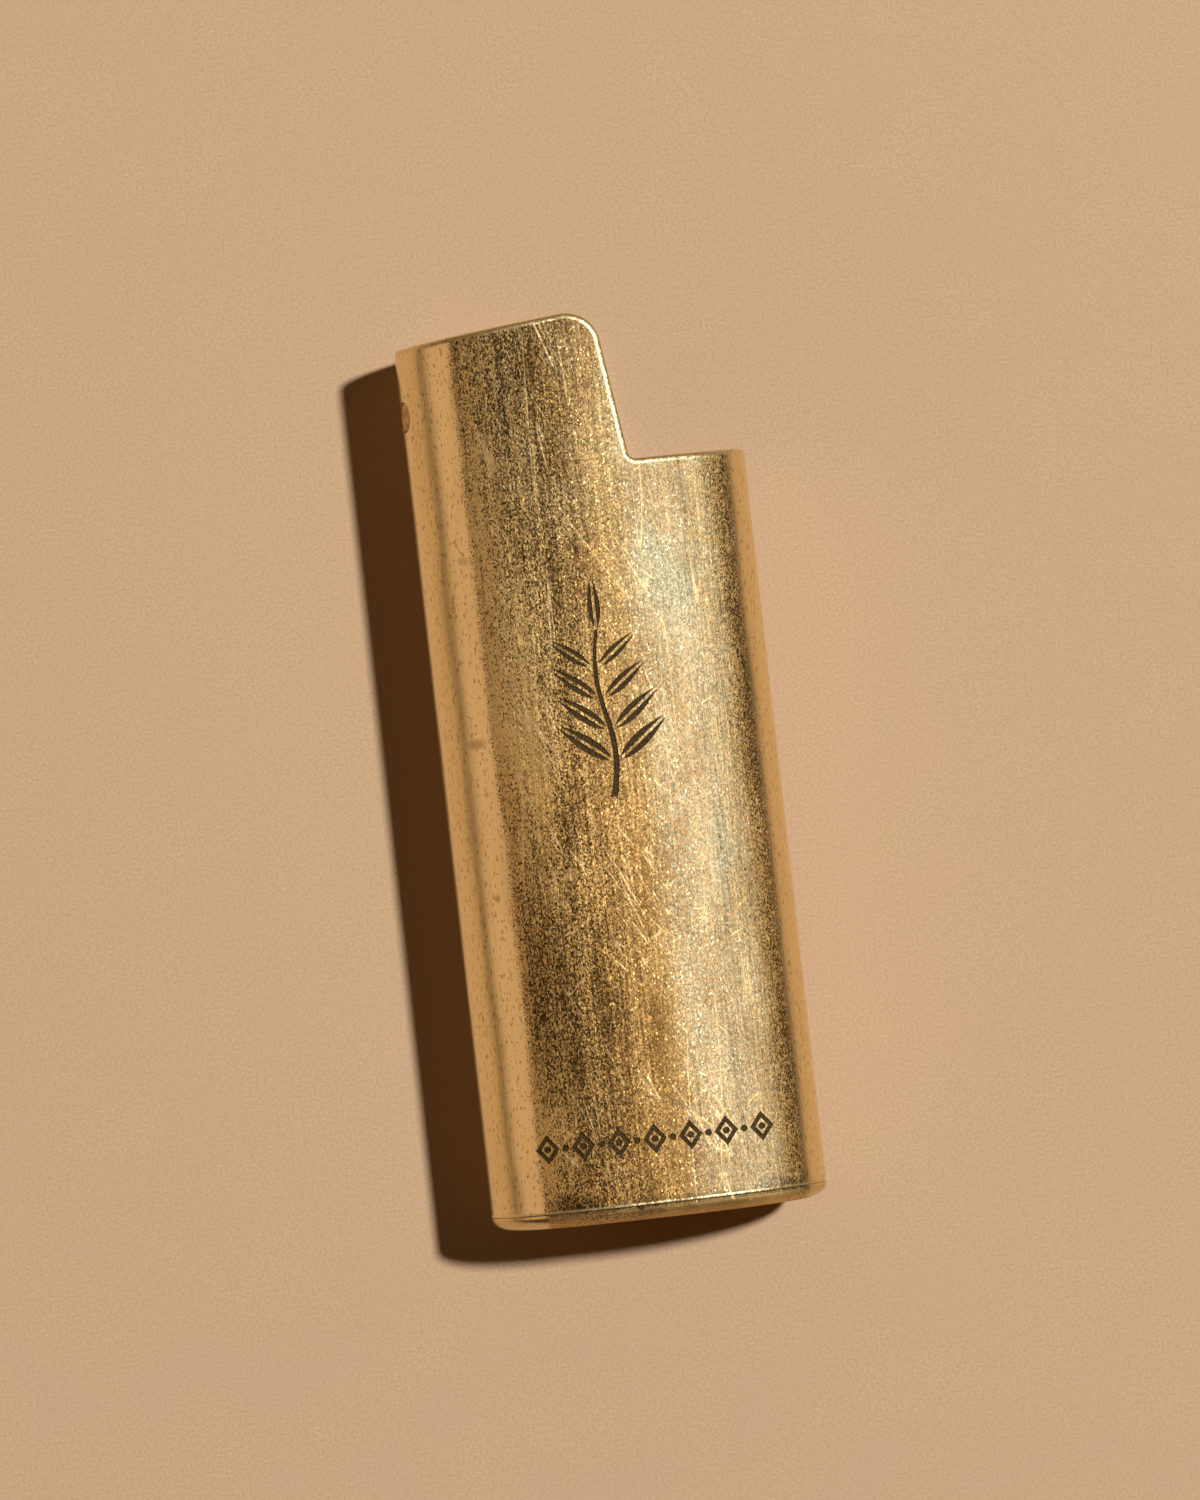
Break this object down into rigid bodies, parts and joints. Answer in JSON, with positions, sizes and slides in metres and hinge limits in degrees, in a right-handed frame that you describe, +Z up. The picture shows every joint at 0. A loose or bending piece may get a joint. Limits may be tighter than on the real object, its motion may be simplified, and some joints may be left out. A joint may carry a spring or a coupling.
{
  "type": "lighter case",
  "caption": "Oval brass case that sleeves a disposable lighter, with a raised hood, a thumb notch, a closed base and a leaf spring that grips the lighter.",
  "frame": {"origin": "middle of the case's length and width, on the surface that the case lies on", "axes": "+X across towards the thumb notch, with the hood on the -X side; +Y along the case from the base to the open mouth; +Z up through its thickness"},
  "size_m": [0.027, 0.0724, 0.0158],
  "materials": {
    "drawn_brass": "satin, unlacquered, fine lengthwise brushing with speckled tarnish and scratches",
    "stamped_brass": "satin, unlacquered, darker tarnish along the seam",
    "rivet_brass": "filed flush outside, hammered inside",
    "spring_bronze": "rolled spring strip, satin"
  },
  "bodies": {
    "case": {"sleeve": "drawn_brass", "base_cap": "stamped_brass", "spring_rivet": "rivet_brass"},
    "spring": {"grip_spring": "spring_bronze"}
  },
  "joints": [
    {"name": "spring_flex", "type": "hinge", "parent": "case", "child": "spring", "pos_m": [-0.01209, 0.02956, 0.00915], "axis": [-0.289, 0, -0.9573], "range_deg": [0, 1.8], "stiffness_Nm_per_rad": 0.16}
  ]
}
